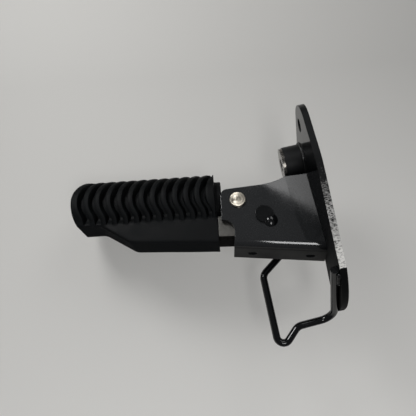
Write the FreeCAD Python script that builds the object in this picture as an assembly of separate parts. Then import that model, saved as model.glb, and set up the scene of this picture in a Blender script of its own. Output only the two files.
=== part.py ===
import FreeCAD, Part
import math
import os

V = FreeCAD.Vector

# Motorcycle footpeg. Millimetres. The plate's mounting face lies in the plane X = 0 with the
# motorcycle on the +X side, +Z is up, and the origin is the upper bolt hole on that face.

# Mounting plate
plate_thick = 4.0
bolt_hole_d = 9.0
plate_near_edge = 18.8      # from the bolt hole to the rear edge
plate_top_edge = 11.2       # from the bolt hole up to the top edge
plate_top_fall = 0.288      # fall of the top edge for each millimetre of width
plate_depth = 114.5         # from the bolt hole down to the lowest point
plate_corner_r = 17.0
plate_shoulder_z = -36.0    # height where the rear edge starts to slant
plate_shoulder_r = 40.0
plate_toe = (3.5, -96.5)    # sharp corner at the lower end of the rear edge
plate_heel_y = 64.8         # where the lower edge and the front edge would meet
plate_heel_r = 8.0
plate_waist = (46.0, -77.4) # inner corner of the front edge
plate_waist_r = 15.0
plate_belly_y = 19.7        # where the two tangents of the round lower edge meet
plate_belly_r = 54.0

# Boss with the second bolt
boss_y = 29.0
boss_d = 24.0
boss_len = 12.5
boss_bore_d = 14.0
boss_land = 1.5             # plate left outside the boss
boss_weld_leg = 1.2
boss_gap = 0.4              # between that weld and the bracket, which is cut back for it
bush_flange_d = 23.0
bush_flange_thick = 2.0

# Bracket, a folded channel, in its own frame: pivot at the origin, x towards the plate
bracket_rise_deg = 12.7     # the channel rises outboard
bracket_yaw_deg = 6.57      # the pivot axis is swept
pivot_x = -55.7
pivot_y = 34.4
pivot_z = -34.9
sheet_thick = 3.2
channel_width = 32.4
fold_r = 5.9                # outside radius of the two folds
pivot_to_web = 32.2         # pivot axis to the underside of the web
pivot_to_front = 10.1
cheek_top = 7.4             # height of the cheek's top edge above the pivot, at the front edge
cheek_top_slope_deg = 10.6
cheek_lean = 1.9            # how far the top of the cheek's front edge leans out past its foot
cheek_corner_r = 4.5
cheek_flare_x = 24.0        # where the top edge bends up to the plate
cheek_flare_deg = 34.0
cheek_flare_r = 45.0
notch_depth = 9.2           # how far the web starts behind the cheek's front edge
notch_r = 7.6
notch_land = 4.0            # upright front edge of the web, above its fold
web_hole_d = 6.5
web_hole_x = 11.6
web_hole_pitch = 38.8

# Pivot pin with its washer and split pin
pin_d = 8.0
pin_play = 0.06             # radial, in the holes of the cheeks and of the tongue
pin_head_d = 11.0
pin_head_thick = 1.8
pin_head_edge = 0.5
pin_washer_d = 16.0
pin_washer_thick = 1.2
washer_play = 0.06
split_d = 2.0
split_play = 0.1
split_leg = 7.0
split_spread_deg = 35.0
pin_tail = 2.6              # pin beyond the split pin
thrust_d = 15.0
thrust_thick = 1.0
side_play = 0.15

# Stop pin
stop_x = 18.2
stop_z = -9.5
stop_d = 8.0
stop_head_d = 12.0
stop_head_thick = 1.5
stop_gap = 0.3              # between the heel and the stop pin at rest
tack_r = 4.8
tack_rise = 2.0
tack_shift = 5.7            # from the stop pin to the middle of the tack
tack_angle_deg = -45.0

# Guard wire: free corners of the loop as (x, z), in the plane that touches the front cheek
wire_d = 5.0
wire_start = (7.0, -96.0)   # on the plate, (y, z)
wire_foot_z = -116.8
wire_foot_r = 9.0
loop_corners = ((-32.0, -118.9, 8.0), (-47.4, -134.0, 4.5), (-47.7, -80.6, 7.0))
wire_end = (-23.0, -61.5)
weld_leg = 2.5
weld_len = 12.0
bead_root = 0.6             # of the wire radius: where a bead starts on the flat face
bead_crest = 0.95           # of the wire radius: where it ends on the wire

# Peg bar, in the bracket's frame
peg_droop_deg = 6.45        # the peg's axis below the channel's direction
eye_r = 7.8
tongue_bottom = 23.5
heel_reach = 21.5
heel_thick = 3.4
heel_fillet = 3.0
bar_width = 18.0            # inside the rubber
bar_top = 4.0               # below the pivot
bar_step = 3.0              # from the tongue's underside up to the bar's
bar_len = 57.0

# Peg rubber, in the peg's frame
rubber_start = 10.7         # from the pivot to the neck's face
rubber_len = 103.7
neck_len = 4.7              # smooth neck before the first rib
neck_inset = 5.0            # below the ribs, so that the neck fits between the cheeks
body_axis_z = 7.2
body_r = 17.5               # half width over the ribs
body_crown = 1.10           # height above the axis over half width
body_keel = 1.37            # depth below the axis over half width
rib_height = 3.6
rib_pitch = 7.65
groove_count = 12
groove_width = 2.9
groove_low_z = -12.0
first_groove = 6.8          # from the outer end to the first groove
wave_shoulder_z = 6.5       # where the ribs reach furthest out
wave_turn_z = -3.5          # where they start to bend back upright
wave_top_r = 27.0
wave_low_r = 20.0
wave_tail_r = 11.0
block_start = 14.0          # from the pivot
block_width = 24.0
block_edge_r = 5.0
block_bottom_in = 27.4
block_bottom_out = 24.0
block_len = 59.3
block_run_out = 22.5
tip_bottom = 10.0           # underside of the thin outer end, below the pivot
tip_bend_r = 12.0

# Longer than any half of the bracket or the peg, for stock that is cut back
stock = 90.0

os.makedirs("parts", exist_ok=True)


# Helpers

def corner_arc(before, at, after, radius):
    """Start, middle and end of the arc that rounds one corner."""
    to_before = (before - at).normalize()
    to_after = (after - at).normalize()
    half = to_before.getAngle(to_after) / 2
    run = radius / math.tan(half)
    inward = (to_before + to_after).normalize()
    middle = at + inward * (radius / math.sin(half) - radius)
    return at + to_before * run, middle, at + to_after * run


def rounded_wire(corners, closed):
    """Wire through (point, radius) corners: straight runs joined by tangent arcs."""
    count = len(corners)
    pieces = []
    for i, (at, radius) in enumerate(corners):
        is_end = not closed and i in (0, count - 1)
        if radius == 0 or is_end:
            pieces.append((at, None, at))
        else:
            before = corners[i - 1][0]
            after = corners[(i + 1) % count][0]
            pieces.append(corner_arc(before, at, after, radius))
    edges = []
    for i, (start, middle, end) in enumerate(pieces):
        if middle is not None:
            edges.append(Part.Arc(start, middle, end).toShape())
        if closed or i < count - 1:
            following = pieces[(i + 1) % count][0]
            if end.distanceToPoint(following) > 1e-6:
                edges.append(Part.LineSegment(end, following).toShape())
    return Part.Wire(edges)


def side_face(corners, y=0.0):
    """Face in an XZ plane from (x, z, radius) corners."""
    return Part.Face(rounded_wire([(V(x, y, z), r) for x, z, r in corners], True))


def side_slab(corners, width):
    """XZ outline extruded evenly to both sides of the middle plane."""
    return side_face(corners, -width / 2).extrude(V(0, width, 0))


def cylinder_y(diameter, y_from, y_to, x=0.0, z=0.0):
    """Round bar along Y."""
    return Part.makeCylinder(diameter / 2, y_to - y_from, V(x, y_from, z), V(0, 1, 0))


def cylinder_x(diameter, x_from, x_to, y=0.0, z=0.0):
    """Round bar along X."""
    return Part.makeCylinder(diameter / 2, x_to - x_from, V(x_from, y, z), V(1, 0, 0))


def placed(shape, placement):
    """Copy of a shape moved by a placement."""
    moved = shape.copy()
    moved.Placement = placement.multiply(shape.Placement)
    return moved


def write(name, shape):
    """Writes one node as a STEP file."""
    shape.exportStep("parts/" + name + ".step")


# Frames and sizes that follow from the driving dimensions

yaw_turn = FreeCAD.Rotation(V(0, 0, 1), bracket_yaw_deg)
rise_turn = FreeCAD.Rotation(V(0, 1, 0), bracket_rise_deg)
bracket_place = FreeCAD.Placement(V(pivot_x, pivot_y, pivot_z), yaw_turn.multiply(rise_turn))
peg_turn = FreeCAD.Placement(V(0, 0, 0), FreeCAD.Rotation(V(0, 1, 0), -peg_droop_deg))
plate_face_x = -plate_thick
half_width = channel_width / 2
inner_width = channel_width - 2 * sheet_thick
tongue_width = inner_width - 2 * (thrust_thick + side_play)
web_top = sheet_thick - pivot_to_web
lug_r = boss_d / 2 + boss_land


def top_edge_z(y):
    """Height of the plate's sloping top edge."""
    return plate_top_edge - plate_top_fall * y


boss_z = top_edge_z(boss_y) - lug_r * math.hypot(1, plate_top_fall)


# Mounting plate

plate_front = boss_y + lug_r
plate_outline = (
    (-plate_near_edge, top_edge_z(-plate_near_edge), plate_corner_r),
    (-plate_near_edge, plate_shoulder_z, plate_shoulder_r),
    plate_toe + (0,),
    (plate_belly_y, -plate_depth, plate_belly_r),
    (plate_heel_y, -plate_depth, plate_heel_r),
    plate_waist + (plate_waist_r,),
    (plate_front, top_edge_z(plate_front), lug_r),
)
plate_wire = rounded_wire([(V(plate_face_x, y, z), r) for y, z, r in plate_outline], True)
mounting_plate = Part.Face(plate_wire).extrude(V(plate_thick, 0, 0))
mounting_plate = mounting_plate.cut(cylinder_x(bolt_hole_d, plate_face_x, 0))
mounting_plate = mounting_plate.cut(cylinder_x(boss_bore_d, plate_face_x, 0, boss_y, boss_z))
write("mounting_plate", mounting_plate)


# Boss collar, its ring weld and the flanged bush

boss_end = plate_face_x - boss_len
boss_collar = cylinder_x(boss_d, boss_end, plate_face_x, boss_y, boss_z)
boss_collar = boss_collar.cut(cylinder_x(boss_bore_d, boss_end, plate_face_x, boss_y, boss_z))
write("boss_collar", boss_collar)

boss_weld = Part.makeCone(boss_d / 2 + boss_weld_leg, boss_d / 2, boss_weld_leg,
                          V(plate_face_x, boss_y, boss_z), V(-1, 0, 0))
boss_weld = boss_weld.cut(cylinder_x(boss_d, boss_end, 0, boss_y, boss_z))
write("boss_weld", boss_weld)

bush_end = boss_end - bush_flange_thick
boss_bush = cylinder_x(boss_bore_d, boss_end, 0, boss_y, boss_z)
boss_bush = boss_bush.fuse(cylinder_x(bush_flange_d, bush_end, boss_end, boss_y, boss_z))
boss_bush = boss_bush.cut(cylinder_x(bolt_hole_d, bush_end, 0, boss_y, boss_z)).removeSplitter()
write("boss_bush", boss_bush)


# Clevis bracket: a U section along x, cut to the side outline and to the plate

plate_room = Part.makeBox(stock, 4 * stock, 4 * stock, V(plate_face_x, -2 * stock, -2 * stock))
plate_room = placed(plate_room, bracket_place.inverse())


def channel(width, bottom, radius, top):
    """Solid bar with a U section: flat bottom, rounded folds, open top."""
    section = [(V(-stock, -width / 2, top), 0), (V(-stock, -width / 2, bottom), radius),
               (V(-stock, width / 2, bottom), radius), (V(-stock, width / 2, top), 0)]
    return Part.Face(rounded_wire(section, True)).extrude(V(3 * stock, 0, 0))


top_slope = math.tan(math.radians(cheek_top_slope_deg))
flare_slope = math.tan(math.radians(cheek_flare_deg))
flare_z = cheek_top + top_slope * (cheek_flare_x + pivot_to_front)
web_front = notch_depth - pivot_to_front
notch_top = web_top + fold_r - sheet_thick + notch_land + notch_r
side_outline = (
    (-pivot_to_front - cheek_lean, cheek_top - top_slope * cheek_lean, cheek_corner_r),
    (cheek_flare_x, flare_z, cheek_flare_r),
    (stock, flare_z + flare_slope * (stock - cheek_flare_x), 0),
    (stock, -pivot_to_web, 0),
    (web_front, -pivot_to_web, 0),
    (web_front, notch_top, notch_r),
    (-pivot_to_front, notch_top, 0),
)
clevis_bracket = channel(channel_width, -pivot_to_web, fold_r, stock)
clevis_bracket = clevis_bracket.cut(channel(inner_width, web_top, fold_r - sheet_thick, 2 * stock))
clevis_bracket = clevis_bracket.common(side_slab(side_outline, channel_width))
boss_room = cylinder_x(boss_d + 2 * (boss_weld_leg + boss_gap), 2 * boss_end, plate_face_x, boss_y, boss_z)
clevis_bracket = clevis_bracket.cut(plate_room)
clevis_bracket = clevis_bracket.cut(placed(boss_room, bracket_place.inverse()))
for x in (web_hole_x, web_hole_x + web_hole_pitch):
    web_hole = Part.makeCylinder(web_hole_d / 2, sheet_thick, V(x, 0, -pivot_to_web))
    clevis_bracket = clevis_bracket.cut(web_hole)
clevis_bracket = clevis_bracket.cut(cylinder_y(pin_d + 2 * pin_play, -half_width, half_width))
clevis_bracket = clevis_bracket.cut(cylinder_y(stop_d, -half_width, half_width, stop_x, stop_z))
clevis_bracket = placed(clevis_bracket, bracket_place)
write("clevis_bracket", clevis_bracket)


# Fillet welds inside the channel, upright along both cheeks

yaw = math.radians(bracket_yaw_deg)
along_cheek = V(-math.cos(yaw), -math.sin(yaw), 0)


def on_plate(y, z):
    """Point of the plate's outboard face at the bracket's own y and z."""
    direction = bracket_place.Rotation.multVec(V(1, 0, 0))
    start = bracket_place.multVec(V(0, y, z))
    return start + direction * ((plate_face_x - start.x) / direction.x)


bracket_welds = []
for side in (-1, 1):
    inner_y = side * inner_width / 2
    low = on_plate(inner_y, web_top + fold_r - sheet_thick)
    high = on_plate(inner_y, flare_z)
    across = V(0, -side, 0)
    section = [low, low + along_cheek * weld_leg, low + across * weld_leg, low]
    bead = Part.Face(Part.makePolygon(section)).extrude(V(0, 0, high.z - low.z))
    bracket_welds.append(bead.cut(clevis_bracket))
write("bracket_welds", Part.makeCompound(bracket_welds))


# Stop pin, headed at both ends, and its tack welds

stop_pin = cylinder_y(stop_d, -half_width, half_width, stop_x, stop_z)
tack_turn = math.radians(tack_angle_deg)
tack_x = stop_x + tack_shift * math.cos(tack_turn)
tack_z = stop_z + tack_shift * math.sin(tack_turn)
tack_ball_r = (tack_r ** 2 + tack_rise ** 2) / (2 * tack_rise)
tacks = []
for side in (-1, 1):
    face_y = side * half_width
    head_end = face_y + side * stop_head_thick
    head = cylinder_y(stop_head_d, min(face_y, head_end), max(face_y, head_end), stop_x, stop_z)
    stop_pin = stop_pin.fuse(head)
    ball = Part.makeSphere(tack_ball_r, V(tack_x, face_y - side * (tack_ball_r - tack_rise), tack_z))
    outside_y = min(face_y, face_y + side * 2 * tack_rise)
    outside = Part.makeBox(4 * tack_r, 2 * tack_rise, 4 * tack_r,
                           V(tack_x - 2 * tack_r, outside_y, tack_z - 2 * tack_r))
    tacks.append(ball.common(outside).cut(head))
stop_pin = stop_pin.removeSplitter()
write("stop_pin", placed(stop_pin, bracket_place))
write("stop_pin_tacks", placed(Part.makeCompound(tacks), bracket_place))


# Pivot pin, washer, split pin and thrust washers

washer_end = half_width + pin_washer_thick
split_y = washer_end + split_d / 2 + split_play
pin_end = split_y + split_d / 2 + pin_tail
head_start = -half_width - pin_head_thick
pin_profile = [V(0, head_start, 0), V(pin_head_d / 2 - pin_head_edge, head_start, 0),
               V(pin_head_d / 2, head_start + pin_head_edge, 0), V(pin_head_d / 2, -half_width, 0),
               V(pin_d / 2, -half_width, 0), V(pin_d / 2, pin_end - pin_head_edge, 0),
               V(pin_d / 2 - pin_head_edge, pin_end, 0), V(0, pin_end, 0), V(0, head_start, 0)]
clevis_pin = Part.Face(Part.makePolygon(pin_profile)).revolve(V(0, 0, 0), V(0, 1, 0), 360)
split_hole = Part.makeCylinder(split_d / 2 + split_play, 2 * pin_d, V(0, split_y, -pin_d))
clevis_pin = clevis_pin.cut(split_hole)
write("clevis_pin", placed(clevis_pin, bracket_place))


def ring_y(outer, inner, y_from, y_to):
    """Flat washer about the pivot axis."""
    return cylinder_y(outer, y_from, y_to).cut(cylinder_y(inner, y_from, y_to))


washer_bore = pin_d + 2 * washer_play
pin_washer = ring_y(pin_washer_d, washer_bore, half_width, washer_end)
write("pin_washer", placed(pin_washer, bracket_place))

thrust_washers = []
for side in (-1, 1):
    outer_y = side * inner_width / 2
    inner_y = outer_y - side * thrust_thick
    thrust_washers.append(ring_y(thrust_d, washer_bore, min(outer_y, inner_y), max(outer_y, inner_y)))
write("thrust_washers", placed(Part.makeCompound(thrust_washers), bracket_place))

split_top = pin_d / 2 + split_d / 2
split_pin = Part.makeCylinder(split_d / 2, 2 * split_top, V(0, split_y, -split_top))
eye_ring = Part.makeTorus(split_d, split_d / 2, V(0, split_y, split_top + split_d), V(0, 1, 0))
split_pin = split_pin.fuse(eye_ring)
for side in (-1, 1):
    spread = math.radians(split_spread_deg)
    leg_way = V(side * math.sin(spread), 0, -math.cos(spread))
    root = V(side * split_d / 4, split_y, -split_top + split_d / 4)
    split_pin = split_pin.fuse(Part.makeCylinder(split_d / 4, split_leg, root, leg_way))
split_pin = split_pin.removeSplitter()
write("split_pin", placed(split_pin, bracket_place))


# Guard wire: a straight run across the plate, then a loop beside the front cheek

wire_r = wire_d / 2
cheek_way = bracket_place.Rotation.multVec(V(0, 1, 0))


def loop_point(x, z):
    """Point of the loop's plane, one wire radius outside the front cheek."""
    off = (x - pivot_x) * cheek_way.x
    y = pivot_y + (half_width + wire_r - off) / cheek_way.y
    return V(x, y, z)


wire_x = plate_face_x - wire_r
start = V(wire_x, wire_start[0], wire_start[1])
foot = loop_point(wire_x, wire_foot_z)
end = loop_point(*wire_end)
wire_corners = [(start, 0), (foot, wire_foot_r)]
for x, z, radius in loop_corners:
    wire_corners.append((loop_point(x, z), radius))
wire_corners.append((end, 0))
wire_path = rounded_wire(wire_corners, False)
wire_section = Part.Wire(Part.Circle(start, foot - start, wire_r).toShape())
guard_wire = wire_path.makePipeShell([wire_section], True, True)
write("guard_wire", guard_wire)


def weld_pair(at, along, outward, length):
    """Two beads in the corners between the wire and a flat face, one on each side."""
    across = along.cross(outward)
    base = at - outward * wire_r
    rod = Part.makeCylinder(wire_r, 3 * length, at - along * length, along)
    beads = []
    for side in (-1, 1):
        root = base + across * (side * wire_r * bead_root)
        toe = base + across * (side * (wire_r + weld_leg))
        crest = base + (across * side + outward) * (wire_r * bead_crest)
        section = [root, toe, crest, root]
        bead = Part.Face(Part.makePolygon(section)).extrude(along * length)
        beads.append(bead.cut(rod))
    return beads


foot_way = (foot - start).normalize()
end_way = (end - loop_point(*loop_corners[-1][:2])).normalize()
guard_welds = weld_pair(start, foot_way, V(-1, 0, 0), weld_len)
guard_welds += weld_pair(end - end_way * weld_len, end_way, cheek_way, weld_len)
write("guard_welds", Part.makeCompound(guard_welds))


# Peg bar: eye, tongue, heel under the stop pin, and the bar inside the rubber

heel_top = stop_z - stop_d / 2 - stop_gap
neck_bottom = body_axis_z - (body_r - neck_inset) * body_keel


def in_bracket(x, z):
    """Sharp outline corner at a point of the peg's frame, in the bracket's frame."""
    at = peg_turn.multVec(V(x, 0, z))
    return at.x, at.z, 0


tongue_outline = (
    in_bracket(-rubber_start, -bar_top),
    (-eye_r, 0, 0),
    (eye_r, 0, 0),
    (eye_r, heel_top, heel_fillet),
    (heel_reach, heel_top, 0),
    (heel_reach, heel_top - heel_thick, 0),
    (eye_r, -tongue_bottom, heel_fillet),
    in_bracket(-block_start, -tongue_bottom),
    in_bracket(-block_start, neck_bottom),
    in_bracket(-rubber_start, neck_bottom),
)
tongue = side_slab(tongue_outline, tongue_width)
tongue = tongue.fuse(cylinder_y(2 * eye_r, -tongue_width / 2, tongue_width / 2))
bar_bottom = bar_step - tongue_bottom
bar_outline = (
    (-rubber_start / 2, -2 * bar_top, 0),
    (-rubber_start / 2, bar_bottom, 0),
    (-rubber_start - bar_len, bar_bottom, heel_fillet),
    (-rubber_start - bar_len, -2 * bar_top, heel_fillet),
)
bar = placed(side_slab(bar_outline, bar_width), peg_turn)
peg_bar = tongue.fuse(bar)
peg_bar = peg_bar.cut(cylinder_y(pin_d + 2 * pin_play, -half_width, half_width)).removeSplitter()
write("peg_bar", placed(peg_bar, bracket_place))


# Peg rubber: an oval body with wavy ribs, a smooth core below them and a block round the bar

rubber_end = -(rubber_start + rubber_len)
past_end = rubber_end - body_r
wave_rise = math.asin((body_axis_z + body_r * body_crown + groove_width - wave_shoulder_z) / wave_top_r)
wave_turn = math.asin((wave_shoulder_z - wave_turn_z) / wave_low_r)


def oval_bar(x_start, inset):
    """Bar of oval section from x_start to past the outer end, its sides set in from the ribs."""
    half = body_r - inset
    arcs = []
    for reach in (half * body_crown, -half * body_keel):
        oval = Part.Ellipse(V(0, 0, reach), V(0, half, 0), V(0, 0, 0))
        arcs.append(Part.ArcOfEllipse(oval, -math.pi / 2, math.pi / 2).toShape())
    bar = Part.Face(Part.Wire(Part.__sortEdges__(arcs))).extrude(V(past_end - x_start, 0, 0))
    bar.translate(V(x_start, 0, body_axis_z))
    return bar


def arc_xz(centre, radius, first, last):
    """Arc in an XZ plane between two angles, counted from +x towards +z."""
    points = []
    for share in (0, 0.5, 1):
        angle = first + (last - first) * share
        points.append(centre + V(math.cos(angle), 0, math.sin(angle)) * radius)
    return Part.Arc(*points).toShape()


def wave(x, offset, low_z, has_tail):
    """Wavy line across the ribs from the top down, its shoulder at x, offset towards the plate."""
    top_centre = V(x + wave_top_r, 0, wave_shoulder_z)
    low_centre = V(x + wave_low_r, 0, wave_shoulder_z)
    edges = [arc_xz(top_centre, wave_top_r - offset, math.pi - wave_rise, math.pi),
             arc_xz(low_centre, wave_low_r - offset, math.pi, math.pi + wave_turn)]
    if has_tail:
        back = V(math.cos(wave_turn), 0, math.sin(wave_turn)) * (wave_low_r + wave_tail_r)
        edges.append(arc_xz(low_centre - back, wave_tail_r + offset, wave_turn, 0))
    foot = edges[-1].Vertexes[-1].Point
    edges.append(Part.makeLine(foot, V(foot.x, 0, low_z)))
    return edges


def slab_between(outer, inner):
    """Slab across the body between two lines, each drawn from the top down."""
    top_line = Part.makeLine(outer[0].Vertexes[0].Point, inner[0].Vertexes[0].Point)
    low_line = Part.makeLine(outer[-1].Vertexes[-1].Point, inner[-1].Vertexes[-1].Point)
    outline = Part.Wire(Part.__sortEdges__(outer + [top_line] + inner + [low_line]))
    slab = Part.Face(outline).extrude(V(0, 2 * stock, 0))
    slab.translate(V(0, -stock, 0))
    return slab


rib_face = -rubber_start - neck_len
ribbed = oval_bar(rib_face, 0)
for i in range(groove_count):
    groove_x = rubber_end + first_groove + i * rib_pitch
    groove_sides = [wave(groove_x, side * groove_width / 2, groove_low_z, True) for side in (-1, 1)]
    ribbed = ribbed.cut(slab_between(*groove_sides))
core = oval_bar(rib_face, rib_height)
neck = oval_bar(-rubber_start, neck_inset)
block_end = -block_start - block_len
underside = (
    (block_end, -block_bottom_out, block_edge_r),
    (block_end - block_run_out, -tip_bottom, tip_bend_r),
    (past_end, -tip_bottom, 0),
)
block_outline = (
    (-block_start, body_axis_z, 0),
    (-block_start, -block_bottom_in, 0),
    *underside,
    (past_end, body_axis_z, 0),
)
block = side_slab(block_outline, block_width)
tip_outline = (
    *underside,
    (past_end, -2 * block_bottom_in, 0),
    (block_end, -2 * block_bottom_in, 0),
)
tip_relief = side_slab(tip_outline, 4 * body_r)
far_line = [Part.makeLine(V(2 * rubber_end, 0, stock), V(2 * rubber_end, 0, -stock))]
end_room = slab_between(far_line, wave(rubber_end, 0, -stock, False))
peg_rubber = ribbed.fuse(core).fuse(neck).cut(tip_relief).fuse(block)
peg_rubber = peg_rubber.cut(end_room).removeSplitter()
peg_rubber = placed(peg_rubber, peg_turn).cut(peg_bar)
write("peg_rubber", placed(peg_rubber, bracket_place))
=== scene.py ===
"""Dressed model of a folding motorcycle footpeg: rubber, weld beads, finishes, light and camera."""

import logging
import math
from dataclasses import dataclass
from enum import Enum
from typing import Any, Optional

import bpy
import numpy as np
from mathutils import Matrix, Vector


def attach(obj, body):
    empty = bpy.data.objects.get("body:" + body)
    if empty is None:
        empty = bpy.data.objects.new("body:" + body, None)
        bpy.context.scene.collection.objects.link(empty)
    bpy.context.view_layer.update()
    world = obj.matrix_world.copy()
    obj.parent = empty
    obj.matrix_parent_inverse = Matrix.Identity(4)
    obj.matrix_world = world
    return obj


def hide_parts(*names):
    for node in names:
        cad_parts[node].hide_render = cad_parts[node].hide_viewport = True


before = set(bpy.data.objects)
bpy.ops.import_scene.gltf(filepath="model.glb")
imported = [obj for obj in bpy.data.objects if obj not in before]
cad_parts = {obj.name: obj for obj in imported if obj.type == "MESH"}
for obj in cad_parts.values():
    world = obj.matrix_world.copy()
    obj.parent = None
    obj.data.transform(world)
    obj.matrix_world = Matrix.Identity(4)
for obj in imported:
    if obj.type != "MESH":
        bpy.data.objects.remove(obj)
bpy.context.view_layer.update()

LOG = logging.getLogger("footpeg")
MM = 0.001

# Three coordinates, and two coordinates or the two ends of a range
Point = tuple[float, float, float]
Pair = tuple[float, float]

# The peg's hinge in the part's own frame, as in its solids, in millimetres and degrees
PIVOT = np.array([-55.7, 34.4, -34.9])
BRACKET_YAW = 6.57
BRACKET_RISE = 12.7
PEG_DROOP = 6.45

# Where most values of a noise pattern lie
NOISE_LOW, NOISE_HIGH = 0.3, 0.7

# Rays that rounded edges in a material send out at each point
EDGE_SAMPLES = 4

# Smallest sine or cosine that a length is divided by
LEAST_SLOPE = 0.05


class Body(Enum):
    """The two rigid bodies of the footpeg."""

    BRACKET = "bracket"
    PEG = "peg"


class Slot(Enum):
    """Two finish names, black paint and black rubber; nothing here gives them to the new pieces."""

    PAINT = "black_paint"
    RUBBER = "black_rubber"


def linear(colour: str) -> tuple[float, float, float, float]:
    """Turns an sRGB hex colour into linear RGBA.

    Args:
        colour: Six hex digits after a hash sign.

    Returns:
        Linear red, green, blue and an alpha of 1.
    """
    share = np.array([int(colour[i:i + 2], 16) for i in (1, 3, 5)]) / 255.0
    value = np.where(share <= 0.04045, share / 12.92, ((share + 0.055) / 1.055) ** 2.4)
    return (float(value[0]), float(value[1]), float(value[2]), 1.0)


def per_mm(size_mm: float) -> float:
    """Texture scale whose features are about this many millimetres wide."""
    return 1.0 / (size_mm * MM)


def add_node(tree: bpy.types.NodeTree, kind: str, values: Optional[dict] = None,
             links: Optional[dict] = None, **settings: Any) -> bpy.types.Node:
    """Adds one node with its settings, socket values and incoming links.

    Args:
        tree: Node tree that gets the node.
        kind: Blender's name of the node type.
        values: Input socket name or number to value.
        links: Input socket name or number to the output socket that feeds it.
        settings: Attributes of the node itself.

    Returns:
        The new node.
    """
    node = tree.nodes.new(kind)
    for key, value in settings.items():
        setattr(node, key, value)
    for key, value in (values or {}).items():
        node.inputs[key].default_value = value
    for key, source in (links or {}).items():
        tree.links.new(source, node.inputs[key])
    return node


def empty_material(name: str) -> bpy.types.Material:
    """Makes a node material with nothing in its tree.

    Args:
        name: Material name.

    Returns:
        The new material.
    """
    material = bpy.data.materials.new(name)
    material.use_nodes = True
    material.node_tree.nodes.clear()
    return material


def turned_y(points: np.ndarray, degrees: float) -> np.ndarray:
    """Points turned about the Y axis by the right-hand rule."""
    c, s = math.cos(math.radians(degrees)), math.sin(math.radians(degrees))
    return points @ np.array([[c, 0, s], [0, 1, 0], [-s, 0, c]]).T


def turned_z(points: np.ndarray, degrees: float) -> np.ndarray:
    """Points turned about the Z axis by the right-hand rule."""
    c, s = math.cos(math.radians(degrees)), math.sin(math.radians(degrees))
    return points @ np.array([[c, -s, 0], [s, c, 0], [0, 0, 1]]).T


def from_bracket(points: np.ndarray) -> np.ndarray:
    """Points of the bracket's frame, in millimetres, placed in the part's frame."""
    return turned_z(turned_y(points, BRACKET_RISE), BRACKET_YAW) + PIVOT


def pin_way() -> np.ndarray:
    """Direction of the pivot pin, which is also square to the cheeks."""
    return turned_z(np.array([0.0, 1.0, 0.0]), BRACKET_YAW)


def smooth_max(a: np.ndarray, b: np.ndarray, k: float) -> np.ndarray:
    """Larger of two arrays with a rounded change-over of width k."""
    blend = np.clip(0.5 + 0.5 * (a - b) / k, 0.0, 1.0)
    return b + (a - b) * blend + k * blend * (1.0 - blend)


def smooth_min(a: np.ndarray, b: np.ndarray, k: float) -> np.ndarray:
    """Smaller of two arrays with a rounded change-over of width k."""
    return -smooth_max(-a, -b, k)


def smooth_step(x: np.ndarray, low: float, high: float) -> np.ndarray:
    """Rises from 0 at low to 1 at high along a cubic."""
    t = np.clip((x - low) / (high - low), 0.0, 1.0)
    return t * t * (3.0 - 2.0 * t)


def rounded(depth: np.ndarray, radius: float) -> np.ndarray:
    """How far a quarter-round edge lies inside its corner, at a depth below the edge's face."""
    rest = np.clip(radius - depth, 0.0, radius)
    return bulge(rest, radius)


def bulge(height: np.ndarray, radius: float) -> np.ndarray:
    """How far an arc has left its tangent, at a height along that tangent."""
    return radius - np.sqrt(radius ** 2 - height ** 2)


def grid_piece(name: str, grids: list[np.ndarray]) -> bpy.types.Object:
    """Makes one piece from grids whose columns go once round and whose end rows are closed.

    The quad of row i and column j joins (i, j), (i, j+1), (i+1, j+1) and (i+1, j), with the
    columns taken round; a fan to the middle of the first and the last row closes the two ends.

    Args:
        name: Object name.
        grids: Arrays of shape (rows, columns, 3), in millimetres.

    Returns:
        The linked object, with smooth faces.
    """
    vertices, faces, count = [], [], 0
    for points in grids:
        rows, columns, _ = points.shape
        index = count + np.arange(rows * columns).reshape(rows, columns)
        following = np.roll(index, -1, axis=1)
        quads = np.stack([index[:-1], following[:-1], following[1:], index[1:]], axis=-1)
        poles = np.stack([points[0].mean(axis=0), points[-1].mean(axis=0)])
        first, last = count + rows * columns, count + rows * columns + 1
        fan_a = np.stack([following[0], index[0], np.full(columns, first)], axis=-1)
        fan_b = np.stack([index[-1], following[-1], np.full(columns, last)], axis=-1)
        vertices.append(np.concatenate([points.reshape(-1, 3), poles]) * MM)
        faces += quads.reshape(-1, 4).tolist() + fan_a.tolist() + fan_b.tolist()
        count += rows * columns + 2
    mesh = bpy.data.meshes.new(name)
    mesh.from_pydata(np.concatenate(vertices).tolist(), [], faces)
    mesh.polygons.foreach_set("use_smooth", np.ones(len(mesh.polygons), dtype=bool))
    mesh.update()
    piece = bpy.data.objects.new(name, mesh)
    bpy.context.scene.collection.objects.link(piece)
    return piece


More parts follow.
